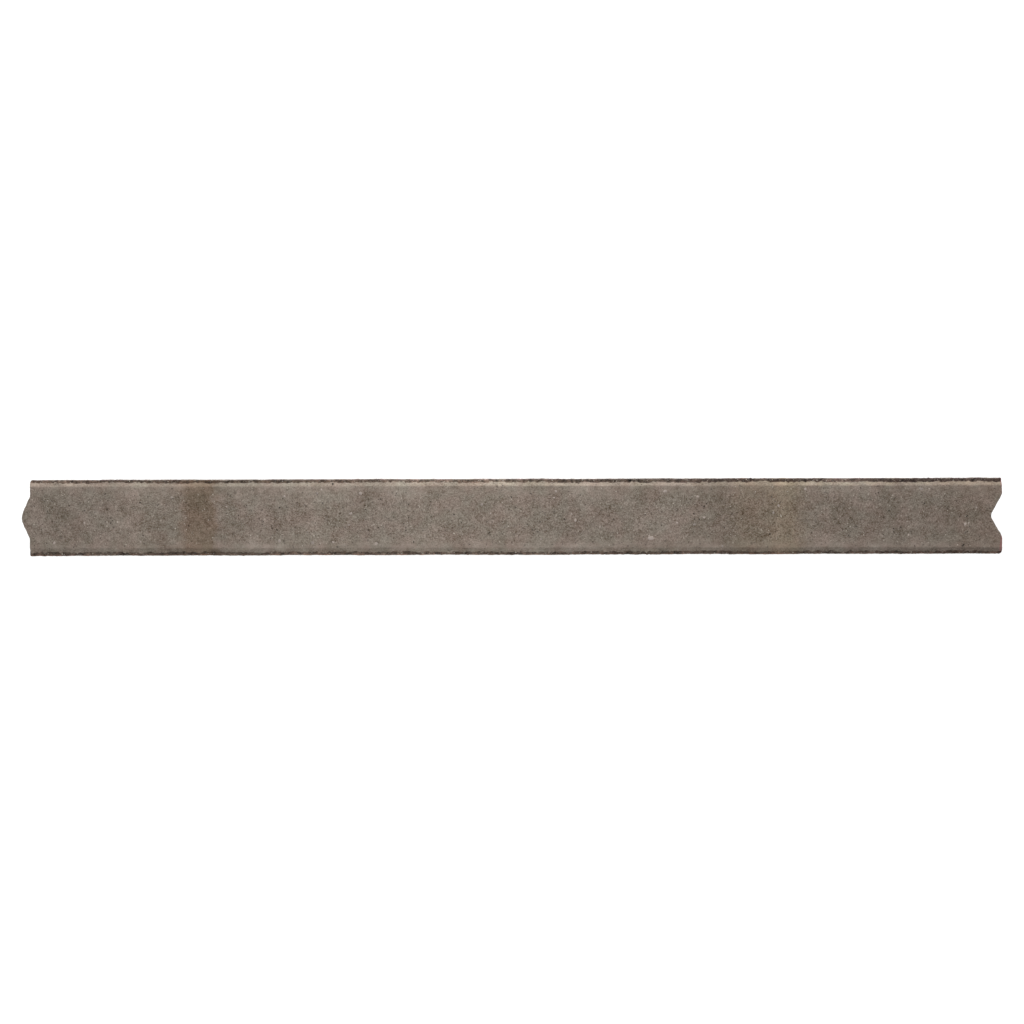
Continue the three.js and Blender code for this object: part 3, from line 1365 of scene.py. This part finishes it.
# Tone changes along each chamfer's lightening, which is partly a cement skin and partly painted highlight.
LAITANCE_AND_HIGHLIGHT_STAINS = (
    Stain(-430, -300, 15, 15, (0.745, 0.74, 0.735), BACK),
    Stain(-300, -120, 15, 20, (0.775, 0.785, 0.78), BACK),
    Stain(-110, 120, 20, 20, (1.08, 1.08, 1.07), BACK),
    Stain(180, 270, 15, 20, (0.87, 0.87, 0.86), BACK),
    Stain(290, 520, 20, 20, (1.22, 1.23, 1.18), BACK),
    Stain(405, 520, 15, 5, (0.92, 0.92, 0.92), BACK),
    Stain(-35, 40, 12, 12, (1.07, 1.07, 1.06), BACK),
    Stain(-385, -290, 15, 15, (0.92, 0.92, 0.92), FRONT),
    Stain(-520, 210, 5, 40, (1.01, 1.02, 1.03), FRONT),
    Stain(210, 520, 40, 5, (0.70, 0.70, 0.71), FRONT),
    Stain(430, 520, 20, 5, (0.77, 0.77, 0.77), FRONT),
)
# Tone changes along each ledge's darkening, which is partly dirt and partly painted shade.
LEDGE_STAINS = (
    Stain(-520, -455, 5, 12, (1.35, 1.33, 1.32), BACK),
    Stain(-430, -240, 15, 25, (0.76, 0.74, 0.72), BACK),
    Stain(-240, -126, 25, 25, (0.92, 0.91, 0.90), BACK),
    Stain(-126, 30, 25, 25, (1.36, 1.36, 1.38), BACK),
    Stain(60, 520, 30, 5, (0.82, 0.82, 0.84), BACK),
    Stain(190, 520, 60, 5, (0.80, 0.78, 0.81), BACK),
    Stain(315, 360, 10, 14, (1.75, 1.75, 1.75), BACK),
    Stain(-520, 520, 5, 5, (1.16, 1.16, 1.17), FRONT),
    Stain(220, 520, 40, 5, (0.90, 0.88, 0.88), FRONT),
    Stain(-250, -30, 20, 20, (1.17, 1.17, 1.17), FRONT),
)
FACING_PASTE = Paste(colour=(0.2133, 0.1742, 0.1422), grain=1.03, stains=TOP_STAINS)
CORE_PASTE = Paste(colour=(0.182, 0.153, 0.128), grain=0.75)

PALE_QUARTZ = StoneFinish("pale_quartz", light=(0.46, 0.41, 0.35), dark=(0.30, 0.26, 0.22), lump=5.0)
DARK_GRIT = StoneFinish("dark_grit", light=(0.075, 0.06, 0.05), dark=(0.14, 0.115, 0.095), lump=5.0)
PINK_STONE = StoneFinish("pink_stone", light=(0.41, 0.345, 0.305), dark=(0.28, 0.24, 0.215), lump=9.0)
CORE_STONE = StoneFinish("core_stone", light=(0.24, 0.21, 0.18), dark=(0.13, 0.115, 0.10), lump=12.0)

# The largest stones of the top: X, Y, half length, half width and turn.
MARKED_PEBBLES = (
    (143.0, -22.5, 3.4, 2.0, 0.0),
    (157.5, 26.0, 2.2, 1.6, 0.3),
    (188.0, -8.0, 2.2, 1.4, 0.2),
    (170.0, -6.5, 1.4, 1.0, 0.0),
)


def build_mixes(mould: Mould) -> Skin:
    """Build and dress the two mixes, and return their surfaces for the stones that show in them."""
    wear = Wear(mould).hollows()
    facing = FacingLayer(mould).build(wear, easing=1)
    core = CoreBlock(mould).build(wear, easing=2)
    skin = Skin((BVHTree.FromBMesh(facing), BVHTree.FromBMesh(core)))
    facing_look = FacingFinish(FACING_PASTE, LAITANCE_AND_HIGHLIGHT_STAINS, LEDGE_STAINS).material(mould)
    core_look = CoreFinish(CORE_PASTE, FACING_PASTE).material(mould)
    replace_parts(finish_piece(facing, "facing_concrete", facing_look), "facing_layer")
    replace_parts(finish_piece(core, "core_concrete", core_look), "core_block")
    return skin


def build_stones(mould: Mould, skin: Skin) -> None:
    """Build the stones and grains that show in the surface of both mixes."""
    sower = Sower(mould, skin, random.Random(23))
    pebbles = [sower.at(*pebble) for pebble in MARKED_PEBBLES] + sower.on_top(36, 1.1, 2.2)
    StoneField("facing_pebbles", "facing_concrete", PINK_STONE, facets=3).build(pebbles)
    pale_grains = sower.on_top(900, 0.35, 0.95) + sower.on_ledges(160, 0.5, 1.1)
    StoneField("facing_pale_grains", "facing_concrete", PALE_QUARTZ, facets=1).build(pale_grains)
    dark_grains = sower.on_top(800, 0.35, 0.9) + sower.on_ledges(700, 0.6, 1.4)
    StoneField("facing_dark_grains", "facing_concrete", DARK_GRIT, facets=1).build(dark_grains)
    stones = sower.on_walls(260, 1.8, 5.5, mould.interface - 6)
    StoneField("core_stones", "core_concrete", CORE_STONE, facets=3).build(stones)


def main() -> None:
    """Build the unit and its studio."""
    mould = Mould.from_frame()
    Studio(mould).build()
    skin = build_mixes(mould)
    build_stones(mould, skin)


if __name__ == "__main__":
    main()
